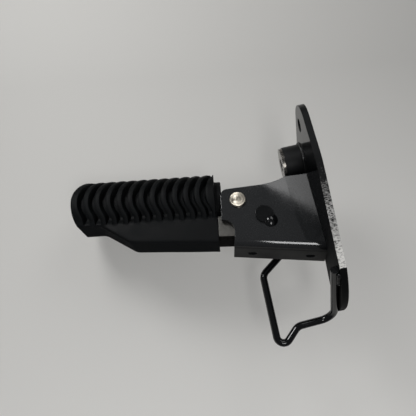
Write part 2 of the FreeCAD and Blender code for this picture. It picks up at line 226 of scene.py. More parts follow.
@dataclass(frozen=True)
class Enamel:
    """Baked semi-gloss black enamel, sprayed on steel.

    A dark film with a clear sheen: faint orange peel, a fine grain of dust in the film, broad
    patches that are a little duller where it was handled, and, where asked for, painted shade and
    less gloss on faces that look down. The peel is as wide as real short orange peel. Dust in
    real paint is finer, about 0.2 mm; it is drawn coarser, in the peel's pattern, so that it shows.
    """

    name: str = "baked_black_enamel"
    colour: str = "#202122"
    dust: str = "#2D2E2F"
    roughness: float = 0.06
    grain_mm: float = 0.7
    peel: float = 0.03
    edge_mm: float = 0.6
    # Colour of the painted shade on faces that look down
    painted_underside_shade: str = "#070707"
    dull_and_shaded_below: float = 0.0
    specular: float = 0.5
    refraction: float = 1.5
    patch_mm: float = 14.0
    peel_mm: float = 0.15
    dust_span: Pair = (0.50, 0.78)
    dust_share: float = 0.6
    looks_down: Pair = (-0.80, -0.94)
    gloss_spread: Pair = (-0.02, 0.05)

    def build(self) -> bpy.types.Material:
        """Makes the material.

        Grain is in the colour, patches in the gloss, peel and soft edges in the normal. Where the
        surface's own normal points down, painted shade darkens the colour and the gloss goes.

        Returns:
            The enamel's material.
        """
        material = empty_material(self.name)
        tree = material.node_tree
        coords = add_node(tree, "ShaderNodeTexCoord")
        at = coords.outputs["Object"]
        facing = add_node(tree, "ShaderNodeSeparateXYZ", links={0: coords.outputs["Normal"]})
        below = add_node(tree, "ShaderNodeMapRange",
                         {"From Min": self.looks_down[0], "From Max": self.looks_down[1]},
                         {"Value": facing.outputs["Z"]}).outputs["Result"]
        grain = add_node(tree, "ShaderNodeTexNoise", {"Scale": per_mm(self.grain_mm), "Detail": 3.0},
                         {"Vector": at}).outputs["Fac"]
        patches = add_node(tree, "ShaderNodeTexNoise", {"Scale": per_mm(self.patch_mm), "Detail": 2.0},
                           {"Vector": at}).outputs["Fac"]
        dusty = add_node(tree, "ShaderNodeMapRange",
                         {"From Min": self.dust_span[0], "From Max": self.dust_span[1],
                          "To Max": self.dust_share}, {"Value": grain}).outputs["Result"]
        colour = add_node(tree, "ShaderNodeMix", {6: linear(self.colour), 7: linear(self.dust)},
                          {0: dusty}, data_type="RGBA").outputs[2]
        handled = add_node(tree, "ShaderNodeMapRange",
                           {"From Min": NOISE_LOW, "From Max": NOISE_HIGH,
                            "To Min": self.roughness + self.gloss_spread[0],
                            "To Max": self.roughness + self.gloss_spread[1]},
                           {"Value": patches}).outputs["Result"]
        gloss = add_node(tree, "ShaderNodeMath", {1: self.dull_and_shaded_below}, {0: below, 2: handled},
                         operation="MULTIPLY_ADD").outputs["Value"]
        # Painted shade: faces that look down are darkened as if they were in shadow
        if self.dull_and_shaded_below:
            colour = add_node(tree, "ShaderNodeMix", {7: linear(self.painted_underside_shade)}, {0: below, 6: colour},
                              data_type="RGBA").outputs[2]
        soft = add_node(tree, "ShaderNodeBevel", {"Radius": self.edge_mm * MM}, samples=EDGE_SAMPLES)
        bump = add_node(tree, "ShaderNodeBump", {"Strength": self.peel, "Distance": self.peel_mm * MM},
                        {"Height": grain, "Normal": soft.outputs["Normal"]})
        shader = add_node(tree, "ShaderNodeBsdfPrincipled",
                          {"IOR": self.refraction, "Specular IOR Level": self.specular},
                          {"Base Color": colour, "Roughness": gloss, "Normal": bump.outputs["Normal"]})
        add_node(tree, "ShaderNodeOutputMaterial", links={"Surface": shader.outputs["BSDF"]})
        return material


@dataclass(frozen=True)
class CutPlateEnamel:
    """Black enamel on laser-cut steel plate, thin and broken along the cut edge.

    The faces are plain enamel, dull from splashes low down. The edge that faces the rear keeps the
    striations of the cut, and there the film is scuffed through to light steel; lower down the scuffs
    spread and turn nearly white, partly wear and partly a painted highlight where the slanted foot
    of the edge catches the light. Real striations are about 0.2 mm apart; they are drawn coarser
    here so that they show.
    """

    name: str = "enamelled_laser_cut_plate"
    colour: str = "#0B0C0D"
    scuffed: str = "#807F7E"
    # Nearly white lower scuffs: light steel with a painted highlight
    steel: str = "#ECEBE8"
    roughness: float = 0.07
    specular: float = 0.11
    refraction: float = 1.5
    stria_mm: float = 0.55
    stria_stretch: Point = (0.4, 1.0, 1.0)
    stria_relief: float = 0.5
    stria_depth_mm: float = 0.3
    blotch_mm: float = 6.0
    blotch_share: float = 0.45
    edge_mm: float = 0.5
    looks_back: Pair = (-0.80, -0.92)
    # Heights where the scuffs start and spread: wear, with a painted highlight lower down
    wear_and_highlight_starts_mm: Pair = (-30.0, -50.0)
    wear_and_highlight_start: Pair = (-0.75, -0.30)
    wear_and_highlight_grows_mm: Pair = (-50.0, -90.0)
    wear_and_highlight_growth: float = 0.22
    bare_span: Pair = (0.36, 0.64)
    painted_highlight_mm: Pair = (-52.0, -88.0)
    splash_mm: Pair = (-66.0, -76.0)
    splash_dulls: float = 0.6
    cut_dulls: float = 0.4
    bare_metallic: float = 0.55
    gloss_spread: Pair = (-0.02, 0.06)

    def build(self) -> bpy.types.Material:
        """Makes the material: a mask from the face's direction brings in the striated, scuffed edge with
        its painted highlight.

        Returns:
            The plate's material.
        """
        material = empty_material(self.name)
        tree = material.node_tree
        coords = add_node(tree, "ShaderNodeTexCoord")
        at = coords.outputs["Object"]
        facing = add_node(tree, "ShaderNodeSeparateXYZ", links={0: coords.outputs["Normal"]})
        rear = add_node(tree, "ShaderNodeMapRange",
                        {"From Min": self.looks_back[0], "From Max": self.looks_back[1]},
                        {"Value": facing.outputs["Y"]}).outputs["Result"]
        along = add_node(tree, "ShaderNodeMapping", {"Scale": self.stria_stretch}, {"Vector": at})
        stria = add_node(tree, "ShaderNodeTexNoise", {"Scale": per_mm(self.stria_mm), "Detail": 2.0},
                         {"Vector": along.outputs["Vector"]}).outputs["Fac"]
        blotch = add_node(tree, "ShaderNodeTexNoise", {"Scale": per_mm(self.blotch_mm), "Detail": 3.0},
                          {"Vector": at}).outputs["Fac"]
        height = add_node(tree, "ShaderNodeSeparateXYZ", links={0: at}).outputs["Z"]
        # Painted highlight with real wear: the scuffs spread towards the foot of the edge
        start = add_node(tree, "ShaderNodeMapRange",
                         {"From Min": self.wear_and_highlight_starts_mm[0] * MM, "From Max": self.wear_and_highlight_starts_mm[1] * MM,
                          "To Min": self.wear_and_highlight_start[0], "To Max": self.wear_and_highlight_start[1]}, {"Value": height})
        foot = add_node(tree, "ShaderNodeMapRange",
                        {"From Min": self.wear_and_highlight_grows_mm[0] * MM, "From Max": self.wear_and_highlight_grows_mm[1] * MM,
                         "To Max": self.wear_and_highlight_growth}, {"Value": height})
        lower = add_node(tree, "ShaderNodeMath",
                         links={0: start.outputs["Result"], 1: foot.outputs["Result"]}, operation="ADD")
        patchy = add_node(tree, "ShaderNodeMath", {1: self.blotch_share},
                          {0: blotch, 2: lower.outputs["Value"]}, operation="MULTIPLY_ADD")
        mixed = add_node(tree, "ShaderNodeMath", links={0: stria, 1: patchy.outputs["Value"]},
                         operation="ADD")
        worn = add_node(tree, "ShaderNodeMapRange",
                        {"From Min": self.bare_span[0], "From Max": self.bare_span[1]},
                        {"Value": mixed.outputs["Value"]})
        bare_and_highlight = add_node(tree, "ShaderNodeMath", links={0: worn.outputs["Result"], 1: rear},
                        operation="MULTIPLY").outputs["Value"]
        # Painted highlight: the scuffs turn from grey to nearly white towards the foot
        highlight_share = add_node(tree, "ShaderNodeMapRange",
                            {"From Min": self.painted_highlight_mm[0] * MM, "From Max": self.painted_highlight_mm[1] * MM},
                            {"Value": height})
        scuff_tone_and_highlight = add_node(tree, "ShaderNodeMix", {6: linear(self.scuffed), 7: linear(self.steel)},
                        {0: highlight_share.outputs["Result"]}, data_type="RGBA")
        colour = add_node(tree, "ShaderNodeMix", {6: linear(self.colour)},
                          {0: bare_and_highlight, 7: scuff_tone_and_highlight.outputs[2]}, data_type="RGBA")
        film = add_node(tree, "ShaderNodeMapRange",
                        {"From Min": NOISE_LOW, "From Max": NOISE_HIGH,
                         "To Min": self.roughness + self.gloss_spread[0],
                         "To Max": self.roughness + self.gloss_spread[1]}, {"Value": blotch})
        splashed = add_node(tree, "ShaderNodeMapRange",
                            {"From Min": self.splash_mm[0] * MM, "From Max": self.splash_mm[1] * MM,
                             "To Max": self.splash_dulls}, {"Value": height})
        rough_cut = add_node(tree, "ShaderNodeMath", {1: self.cut_dulls},
                             {0: rear, 2: film.outputs["Result"]}, operation="MULTIPLY_ADD")
        gloss = add_node(tree, "ShaderNodeMath",
                         links={0: rough_cut.outputs["Value"], 1: splashed.outputs["Result"]},
                         operation="ADD")
        metal = add_node(tree, "ShaderNodeMath", {1: self.bare_metallic}, {0: bare_and_highlight}, operation="MULTIPLY")
        cut = add_node(tree, "ShaderNodeMath", links={0: stria, 1: rear}, operation="MULTIPLY")
        soft = add_node(tree, "ShaderNodeBevel", {"Radius": self.edge_mm * MM}, samples=EDGE_SAMPLES)
        bump = add_node(tree, "ShaderNodeBump",
                        {"Strength": self.stria_relief, "Distance": self.stria_depth_mm * MM},
                        {"Height": cut.outputs["Value"], "Normal": soft.outputs["Normal"]})
        shader = add_node(tree, "ShaderNodeBsdfPrincipled",
                          {"IOR": self.refraction, "Specular IOR Level": self.specular},
                          {"Base Color": colour.outputs[2], "Roughness": gloss.outputs["Value"],
                           "Metallic": metal.outputs["Value"], "Normal": bump.outputs["Normal"]})
        add_node(tree, "ShaderNodeOutputMaterial", links={"Surface": shader.outputs["BSDF"]})
        return material


@dataclass(frozen=True)
class MouldedRubber:
    """Compression-moulded black EPDM rubber.

    Matte, with a faint sheen on the ribs, a fine pebble from the mould, faint grey bloom, and dull
    and dusty where it looks down. The pebble of a real mould is about 0.2 mm wide; it is drawn
    coarser here so that it shows.
    """

    name: str = "moulded_black_rubber"
    colour: str = "#070809"
    bloom: str = "#0F1112"
    dust: str = "#2A2C2E"
    roughness: float = 0.52
    specular: float = 0.065
    refraction: float = 1.52
    pebble_mm: float = 0.55
    pebble_relief: float = 0.16
    pebble_depth_mm: float = 0.2
    cloud_mm: float = 11.0
    bloom_span: Pair = (0.40, 0.72)
    bloom_share: float = 0.7
    looks_down: Pair = (-0.45, -0.85)
    dust_share: float = 0.5
    gloss_spread: Pair = (-0.05, 0.09)

    def build(self) -> bpy.types.Material:
        """Makes the material: bloom in the colour, pebble in the normal, patches in the gloss.

        Returns:
            The rubber's material.
        """
        material = empty_material(self.name)
        tree = material.node_tree
        coords = add_node(tree, "ShaderNodeTexCoord")
        at = coords.outputs["Object"]
        facing = add_node(tree, "ShaderNodeSeparateXYZ", links={0: coords.outputs["Normal"]})
        below = add_node(tree, "ShaderNodeMapRange",
                         {"From Min": self.looks_down[0], "From Max": self.looks_down[1],
                          "To Max": self.dust_share}, {"Value": facing.outputs["Z"]}).outputs["Result"]
        pebble = add_node(tree, "ShaderNodeTexNoise", {"Scale": per_mm(self.pebble_mm), "Detail": 2.0},
                          {"Vector": at})
        cloud = add_node(tree, "ShaderNodeTexNoise", {"Scale": per_mm(self.cloud_mm), "Detail": 4.0},
                         {"Vector": at}).outputs["Fac"]
        share = add_node(tree, "ShaderNodeMapRange",
                         {"From Min": self.bloom_span[0], "From Max": self.bloom_span[1],
                          "To Max": self.bloom_share}, {"Value": cloud})
        bloomed = add_node(tree, "ShaderNodeMix", {6: linear(self.colour), 7: linear(self.bloom)},
                           {0: share.outputs["Result"]}, data_type="RGBA")
        colour = add_node(tree, "ShaderNodeMix", {7: linear(self.dust)},
                          {0: below, 6: bloomed.outputs[2]}, data_type="RGBA")
        patchy = add_node(tree, "ShaderNodeMapRange",
                          {"From Min": NOISE_LOW, "From Max": NOISE_HIGH,
                           "To Min": self.roughness + self.gloss_spread[0],
                           "To Max": self.roughness + self.gloss_spread[1]}, {"Value": cloud})
        gloss = add_node(tree, "ShaderNodeMath", links={0: patchy.outputs["Result"], 1: below},
                         operation="ADD")
        bump = add_node(tree, "ShaderNodeBump",
                        {"Strength": self.pebble_relief, "Distance": self.pebble_depth_mm * MM},
                        {"Height": pebble.outputs["Fac"]})
        shader = add_node(tree, "ShaderNodeBsdfPrincipled",
                          {"IOR": self.refraction, "Specular IOR Level": self.specular},
                          {"Base Color": colour.outputs[2], "Roughness": gloss.outputs["Value"],
                           "Normal": bump.outputs["Normal"]})
        add_node(tree, "ShaderNodeOutputMaterial", links={"Surface": shader.outputs["BSDF"]})
        return material


@dataclass(frozen=True)
class ZincPlate:
    """Zinc-plated and passivated steel: a dull warm silver with cloudy spangle.

    Where asked for, faces that look down lose gloss and carry painted shade, a dark colour for shadow.
    """

    name: str = "zinc_plated_steel"
    colour: str = "#B9B6AC"
    cloud: str = "#8F8D86"
    roughness: float = 0.36
    spangle_mm: float = 1.8
    # Colour of the painted shade on faces that look down
    underside_shade: str = "#0E0D0C"
    shaded_underside: float = 0.0
    edge_mm: float = 0.3
    dulls_underneath: float = 0.45
    looks_down: Pair = (-0.55, -0.80)
    spangle_relief: float = 0.12
    spangle_depth_mm: float = 0.1
    gloss_spread: Pair = (-0.08, 0.12)

    def build(self) -> bpy.types.Material:
        """Makes the material: cloudy colour and gloss, soft edges, painted shade on faces that look down.

        Returns:
            The zinc's material.
        """
        material = empty_material(self.name)
        tree = material.node_tree
        coords = add_node(tree, "ShaderNodeTexCoord")
        facing = add_node(tree, "ShaderNodeSeparateXYZ", links={0: coords.outputs["Normal"]})
        below = add_node(tree, "ShaderNodeMapRange",
                         {"From Min": self.looks_down[0], "From Max": self.looks_down[1],
                          "To Max": self.shaded_underside}, {"Value": facing.outputs["Z"]}).outputs["Result"]
        spangle = add_node(tree, "ShaderNodeTexNoise", {"Scale": per_mm(self.spangle_mm), "Detail": 4.0},
                           {"Vector": coords.outputs["Object"]}).outputs["Fac"]
        clean = add_node(tree, "ShaderNodeMix", {6: linear(self.cloud), 7: linear(self.colour)},
                         {0: spangle}, data_type="RGBA")
        # Painted shade: faces that look down turn dark as if they were in shadow
        colour = add_node(tree, "ShaderNodeMix", {7: linear(self.underside_shade)},
                          {0: below, 6: clean.outputs[2]}, data_type="RGBA")
        cloudy = add_node(tree, "ShaderNodeMapRange",
                          {"From Min": NOISE_LOW, "From Max": NOISE_HIGH,
                           "To Min": self.roughness + self.gloss_spread[0],
                           "To Max": self.roughness + self.gloss_spread[1]}, {"Value": spangle})
        gloss = add_node(tree, "ShaderNodeMath", {1: self.dulls_underneath},
                         {0: below, 2: cloudy.outputs["Result"]}, operation="MULTIPLY_ADD")
        soft = add_node(tree, "ShaderNodeBevel", {"Radius": self.edge_mm * MM}, samples=EDGE_SAMPLES)
        bump = add_node(tree, "ShaderNodeBump",
                        {"Strength": self.spangle_relief, "Distance": self.spangle_depth_mm * MM},
                        {"Height": spangle, "Normal": soft.outputs["Normal"]})
        shader = add_node(tree, "ShaderNodeBsdfPrincipled", {"Metallic": 1.0},
                          {"Base Color": colour.outputs[2], "Roughness": gloss.outputs["Value"],
                           "Normal": bump.outputs["Normal"]})
        add_node(tree, "ShaderNodeOutputMaterial", links={"Surface": shader.outputs["BSDF"]})
        return material


@dataclass(frozen=True)
class TurnedZinc:
    """Turned steel with a thin zinc coat: fine rings about the pin's axis on a warm silver.

    Real tool marks are about 0.2 mm apart; the rings are drawn much coarser here so that they
    show, and the sheen that the fine marks give is left to the brushed, anisotropic gloss.
    """

    name: str = "turned_zinc_steel"
    colour: str = "#D0C9BA"
    groove: str = "#B3AC9F"
    roughness: float = 0.30
    ring_mm: float = 2.1
    ring_relief: float = 0.35
    ring_depth_mm: float = 0.06
    brushed: float = 0.75
    edge_mm: float = 0.3

    def build(self) -> bpy.types.Material:
        """Makes the material: rings from the sine of the distance to the pin's axis.

        Returns:
            The pin's material.
        """
        material = empty_material(self.name)
        tree = material.node_tree
        at = add_node(tree, "ShaderNodeTexCoord").outputs["Object"]
        axis = tuple(pin_way())
        arm = add_node(tree, "ShaderNodeVectorMath", {1: tuple(PIVOT * MM)}, {0: at},
                       operation="SUBTRACT").outputs["Vector"]
        level = add_node(tree, "ShaderNodeVectorMath", {1: axis}, {0: arm}, operation="DOT_PRODUCT")
        along = add_node(tree, "ShaderNodeVectorMath", {0: axis}, {"Scale": level.outputs["Value"]},
                         operation="SCALE")
        out = add_node(tree, "ShaderNodeVectorMath", links={0: arm, 1: along.outputs["Vector"]},
                       operation="SUBTRACT")
        radius = add_node(tree, "ShaderNodeVectorMath", links={0: out.outputs["Vector"]},
                          operation="LENGTH")
        phase = add_node(tree, "ShaderNodeMath", {1: 2.0 * math.pi * per_mm(self.ring_mm)},
                         {0: radius.outputs["Value"]}, operation="MULTIPLY")
        wave = add_node(tree, "ShaderNodeMath", links={0: phase.outputs["Value"]}, operation="SINE")
        share = add_node(tree, "ShaderNodeMapRange", {"From Min": -1.0},
                         {"Value": wave.outputs["Value"]}).outputs["Result"]
        colour = add_node(tree, "ShaderNodeMix", {6: linear(self.groove), 7: linear(self.colour)},
                          {0: share}, data_type="RGBA")
        soft = add_node(tree, "ShaderNodeBevel", {"Radius": self.edge_mm * MM}, samples=EDGE_SAMPLES)
        bump = add_node(tree, "ShaderNodeBump",
                        {"Strength": self.ring_relief, "Distance": self.ring_depth_mm * MM},
                        {"Height": share, "Normal": soft.outputs["Normal"]})
        round_axis = add_node(tree, "ShaderNodeTangent", direction_type="RADIAL", axis="Y")
        shader = add_node(tree, "ShaderNodeBsdfPrincipled",
                          {"Metallic": 1.0, "Roughness": self.roughness, "Anisotropic": self.brushed},
                          {"Base Color": colour.outputs[2], "Normal": bump.outputs["Normal"],
                           "Tangent": round_axis.outputs["Tangent"]})
        add_node(tree, "ShaderNodeOutputMaterial", links={"Surface": shader.outputs["BSDF"]})
        return material


@dataclass(frozen=True)
class PaleCloth:
    """Plain pale sheet behind the object, seen from its front side only."""

    name: str = "pale_sheet"
    colour: str = "#DEDDDA"
    shaded: str = "#AEADAA"
    glow_low: float = 0.48
    glow_high: float = 0.10
    low_mm: float = -200.0
    high_mm: float = 100.0

    def build(self) -> bpy.types.Material:
        """Makes the material: matte and a little bright of itself in front, clear from the back.

        Only camera rays and reflections see that brightness, so it puts no light on the object. It
        grows towards the foot of the sheet, where the key lamp lights it less. The sheet lets the
        light of the lamp behind it through, so that the object's far side is lit too.

        Returns:
            The sheet's material.
        """
        material = empty_material(self.name)
        tree = material.node_tree
        side = add_node(tree, "ShaderNodeNewGeometry")
        ray = add_node(tree, "ShaderNodeLightPath")
        seen = add_node(tree, "ShaderNodeMath",
                        links={0: ray.outputs["Is Camera Ray"], 1: ray.outputs["Is Glossy Ray"]},
                        operation="MAXIMUM")
        coords = add_node(tree, "ShaderNodeTexCoord")
        at = add_node(tree, "ShaderNodeSeparateXYZ", links={0: coords.outputs["Object"]})
        glow = add_node(tree, "ShaderNodeMapRange",
                        {"From Min": self.low_mm * MM, "From Max": self.high_mm * MM,
                         "To Min": self.glow_low, "To Max": self.glow_high}, {"Value": at.outputs["Z"]})
        level = add_node(tree, "ShaderNodeMath",
                         links={0: seen.outputs["Value"], 1: glow.outputs["Result"]},
                         operation="MULTIPLY")
        matte = add_node(tree, "ShaderNodeBsdfDiffuse", {"Color": linear(self.shaded)})
        bright = add_node(tree, "ShaderNodeEmission", {"Color": linear(self.colour)},
                          {"Strength": level.outputs["Value"]})
        front = add_node(tree, "ShaderNodeAddShader",
                         links={0: matte.outputs["BSDF"], 1: bright.outputs["Emission"]})
        clear = add_node(tree, "ShaderNodeBsdfTransparent")
        passed = add_node(tree, "ShaderNodeMath",
                          links={0: side.outputs["Backfacing"], 1: ray.outputs["Is Shadow Ray"]},
                          operation="MAXIMUM")
        shader = add_node(tree, "ShaderNodeMixShader",
                          links={0: passed.outputs["Value"], 1: front.outputs["Shader"],
                                 2: clear.outputs["BSDF"]})
        add_node(tree, "ShaderNodeOutputMaterial", links={"Surface": shader.outputs["Shader"]})
        return material


@dataclass
class PegRubber:
    """Moulded rubber sleeve of the peg: an oval ribbed grip over a smooth block round the bar.

    Sizes in millimetres, in the peg's frame: x runs inboard along the peg with the pivot at 0,
    y to the front, z up.
    """

    # Whole sleeve and its oval section
    start: float = 10.7
    length: float = 103.7
    neck: float = 4.7
    neck_inset: float = 5.0
    axis_z: float = 7.2
    half_width: float = 17.5
    crown: float = 1.10
    keel: float = 1.37
    # Ribs and grooves
    rib_height: float = 3.6
    rib_crown: float = 0.25
    groove_depth: float = 5.6
    grooves: int = 12
    pitch: float = 7.65
    groove_width: float = 3.3
    first_groove: float = 6.8
    wall_in: float = 0.4
    wall_out: float = 0.6
    crowding: float = 0.12
    # Bend of the ribs as seen from the side
    shoulder_z: float = 6.5
    turn_z: float = -3.5
    top_r: float = 27.0
    top_share: float = 0.95
    low_r: float = 20.0
    tail_r: float = 11.0
    outer_r: float = 42.0
    # Block round the bar, and the underside
    block_start: float = 14.0
    block_half: float = 12.0
    block_in: float = 27.4
    block_out: float = 24.0
    block_len: float = 59.3
    block_fade: float = 2.4
    block_shrink: float = 0.5
    run_out: float = 22.5
    tip: float = 10.0
    groove_foot: float = -10.2
    # Rounded edges and change-overs
    edge_r: float = 0.9
    end_r: float = 1.2
    tip_bend: float = 1.6
    block_bend: float = 1.2
    side_bend: float = 1.2
    foot_bend: float = 2.6
    # Fineness of the grid
    columns: int = 224
    outline_steps: int = 4001
    end_rows: int = 8
    wall_rows: int = 8
    floor_rows: int = 3
    crest_rows: int = 5
    inner_rows: int = 12
    step: float = 0.01
    cap_rows: int = 8
    cap_hole: float = 0.12

    @property
    def end(self) -> float:
        """Place of the outer end."""
        return -(self.start + self.length)

    @property
    def rib_face(self) -> float:
        """Place of the flat inner face of the ribs."""
        return -(self.start + self.neck)

    def underside(self, x: np.ndarray) -> np.ndarray:
        """Height of the underside: a slow rise along the block, a steep one and the flat tip.

        Args:
            x: Places along the peg.

        Returns:
            Height for each place, with rounded bends.
        """
        block_end = -self.block_start - self.block_len
        rise = (self.block_out - self.block_in) * (x + self.block_start) / -self.block_len
        steep = self.block_out + (self.tip - self.block_out) * (block_end - x) / self.run_out
        outer = smooth_max(steep, np.full_like(x, self.tip), self.tip_bend)
        return -smooth_min(self.block_in + rise, outer, self.block_bend)

    def sweep(self, z: np.ndarray, has_tail: np.ndarray) -> np.ndarray:
        """How far inboard of its shoulder a rib lies at a height.

        Above and below the shoulder the rib follows an arc that leaves it upright. At the turn the
        lower arc passes into a smaller one of opposite bend, the tail, which ends upright again. The
        outer end of the rubber has no tail and follows one wider arc below the shoulder.

        Args:
            z: Heights.
            has_tail: Share of the tail, 0 to 1.

        Returns:
            Shift along x for each height.
        """
        slope = (self.shoulder_z - self.turn_z) / self.low_r
        above = np.clip(z - self.shoulder_z, 0.0, self.top_share * self.top_r)
        below = np.clip(self.shoulder_z - z, 0.0, slope * self.low_r)
        past = np.clip(self.turn_z - z, 0.0, slope * self.tail_r)
        depth = np.clip(self.shoulder_z - z, 0.0, self.shoulder_z + self.tip)
        lean = slope - past / self.tail_r
        tail = self.tail_r * (np.sqrt(1.0 - lean ** 2) - math.sqrt(1.0 - slope ** 2))
        plain = bulge(depth, self.outer_r)
        waved = bulge(below, self.low_r) + tail
        return bulge(above, self.top_r) + plain + (waved - plain) * has_tail

    def oval(self, angle: np.ndarray, inset: float) -> np.ndarray:
        """Distance from the axis to the oval: an ellipse, taller above and deeper below the axis.

        Args:
            angle: Directions about the axis.
            inset: How much less its half width is.

        Returns:
            Distance for each direction.
        """
        a = self.half_width - inset
        c, s = np.cos(angle), np.sin(angle)
        stretch = np.where(s > 0.0, self.crown, self.keel)
        return 1.0 / np.sqrt((c / a) ** 2 + (s / (a * stretch)) ** 2)

    def block(self, x: np.ndarray, angle: np.ndarray) -> np.ndarray:
        """Distance from the axis to the block's upright sides, which start below the grooves' ends.

        Args:
            x: Places along the peg.
            angle: Directions about the axis.

        Returns:
            Distance for each place and direction, nothing inboard of the rounded inner face.
        """
        c, s = np.cos(angle), np.sin(angle)
        side = np.where(s < 0.0, self.block_half / np.maximum(np.abs(c), LEAST_SLOPE), 0.0)
        z = self.axis_z + side * s
        fade = smooth_step(z, self.groove_foot, self.groove_foot + self.block_fade)
        side = side * (1.0 - self.block_shrink * fade)
        depth = -self.block_start - x
        return np.where(depth < 0.0, 0.0, side - rounded(depth, self.edge_r))

    def directions(self) -> np.ndarray:
        """Angles about the axis that divide the skin's outline over the block into even lengths.

        Returns:
            One angle for each column.
        """
        fine = np.linspace(0.0, 2.0 * math.pi, self.outline_steps)
        middle = np.full_like(fine, -0.5 * self.block_len)
        radius = self.skin(middle, fine, self.oval(fine, 0.0))
        steps = np.hypot(np.diff(radius * np.cos(fine)), np.diff(radius * np.sin(fine)))
        run = np.concatenate([[0.0], np.cumsum(steps)])
        return np.interp(np.linspace(0.0, run[-1], self.columns, endpoint=False), run, fine)

    def skin(self, x: np.ndarray, angle: np.ndarray, oval: np.ndarray) -> np.ndarray:
        """Distance from the axis to the skin: larger of oval and block, cut by the underside."""
        depth = (self.axis_z - self.underside(x)) / np.maximum(-np.sin(angle), LEAST_SLOPE)
        return smooth_min(smooth_max(oval, self.block(x, angle), self.side_bend), depth, self.foot_bend)

    def stations(self) -> np.ndarray:
        """Places along the peg, dense on groove walls and at the ends.

        Returns:
            One place for each row, from the inner end outwards.
        """
        half = self.groove_width / 2.0
        walls = np.linspace(half - self.wall_in, half + self.wall_out, self.wall_rows)
        floor = np.linspace(0.0, half - self.wall_in, self.floor_rows, endpoint=False)
        crest = np.linspace(half + self.wall_out, self.pitch / 2.0, self.crest_rows, endpoint=False)
        side = np.concatenate([floor, walls, crest[1:]])
        offsets = np.concatenate([-side[:0:-1], side, [self.pitch / 2.0]])
        centres = self.end + self.first_groove + self.pitch * np.arange(self.grooves)
        ribs = (centres[:, None] + offsets[None, :]).ravel()
        ease = 0.5 - 0.5 * np.cos(np.linspace(0.0, math.pi / 2.0, self.end_rows))
        outer = np.concatenate([self.end + 2.0 * self.end_r * ease,
                                np.linspace(self.end + self.end_r, ribs[0], self.end_rows)])
        face = self.rib_face - self.step
        inner = np.concatenate([np.linspace(ribs[-1], face - self.edge_r, self.inner_rows),
                                face - 2.0 * self.edge_r * ease])
        lip = -self.start - 2.0 * self.edge_r * ease
        block_face = -self.block_start - 2.0 * self.edge_r * ease
        neck = np.concatenate([lip, [-self.block_start + 2.0 * self.step], block_face,
                               [self.rib_face + self.step]])
        return np.unique(np.concatenate([outer, ribs, inner, neck]))[::-1]

    def inset(self, u: np.ndarray) -> np.ndarray:
        """How far the oval is set in at each row.

        On the neck it is even. On the ribs it is the groove's depth between two rounded walls, a
        slight fall from the middle of each rib, and the round edge of the flat inner face.

        Args:
            u: Places of the rows along the peg.

        Returns:
            Depth below the top of the ribs for each row.
        """
        number = (u - self.end - self.first_groove) / self.pitch
        gap = np.abs(number - np.clip(np.round(number), 0, self.grooves - 1)) * self.pitch
        half = self.groove_width / 2.0
        cut = 1.0 - smooth_step(gap, half - self.wall_in, half + self.wall_out)
        fall = self.rib_crown * (1.0 - smooth_step(gap, half, self.pitch / 2.0))
        ribs = np.maximum(self.groove_depth * cut, fall)
        ribs = np.maximum(ribs, rounded(self.rib_face - u, self.edge_r))
        return np.where(u > self.rib_face, self.neck_inset, ribs)

    def surface(self) -> np.ndarray:
        """Grid of the whole skin.

        A row is a wavy line round the peg that runs along a rib, so grooves and rows go together;
        on the neck the rows are plane. A point lies at the skin's radius in its direction. The
        oval is set in on the neck and in the grooves, and all edges and both ends are rounded off.
        A few rows shrink to the middle to close the ends: the inner end is plane, the outer one
        keeps the bend of the ribs. The rows are handed over from the outer end inwards, so that
        the faces point outwards.

        Returns:
            Array of shape (rows, columns, 3) in the part's frame, in millimetres.
        """
        angle = self.directions()[None, :]
        u = self.stations()[:, None]
        top = self.oval(angle, 0.0)
        has_tail = smooth_step(u, self.end, self.end + self.first_groove)
        shift = self.sweep(self.axis_z + top * np.sin(angle), has_tail)
        crowded = self.rib_face - self.crowding * (self.rib_face - u)
        x = np.where(u > self.rib_face, u, np.minimum(u + shift, crowded))
        share = self.inset(u) / self.rib_height
        oval = top + (self.oval(angle, self.rib_height) - top) * share
        radius = self.skin(x, angle, oval)
        radius = radius - rounded(u - self.end, self.end_r) - rounded(-self.start - u, self.edge_r)
        shrink = np.linspace(1.0, self.cap_hole, self.cap_rows + 1)[1:, None]
        radius = np.concatenate([shrink[::-1] * radius[:1], radius, shrink * radius[-1:]])
        outer_z = self.axis_z + shrink * top * np.sin(angle)
        outer_face = self.end + self.sweep(outer_z, np.zeros_like(shrink))
        x = np.concatenate([np.repeat(x[:1], self.cap_rows, axis=0), x, outer_face])
        across, up = radius * np.cos(angle), self.axis_z + radius * np.sin(angle)
        return from_bracket(turned_y(np.stack([x, across, up], axis=-1), -PEG_DROOP))[::-1]

    def build(self, finish: bpy.types.Material) -> bpy.types.Object:
        """Makes the rubber, dresses it and lets it stand for its plain solid.

        Args:
            finish: The rubber's material.

        Returns:
            The piece.
        """
        piece = grid_piece("moulded_peg_rubber", [self.surface()])
        piece.data.materials.append(finish)
        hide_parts("peg_rubber")
        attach(piece, Body.PEG.value)
        return piece


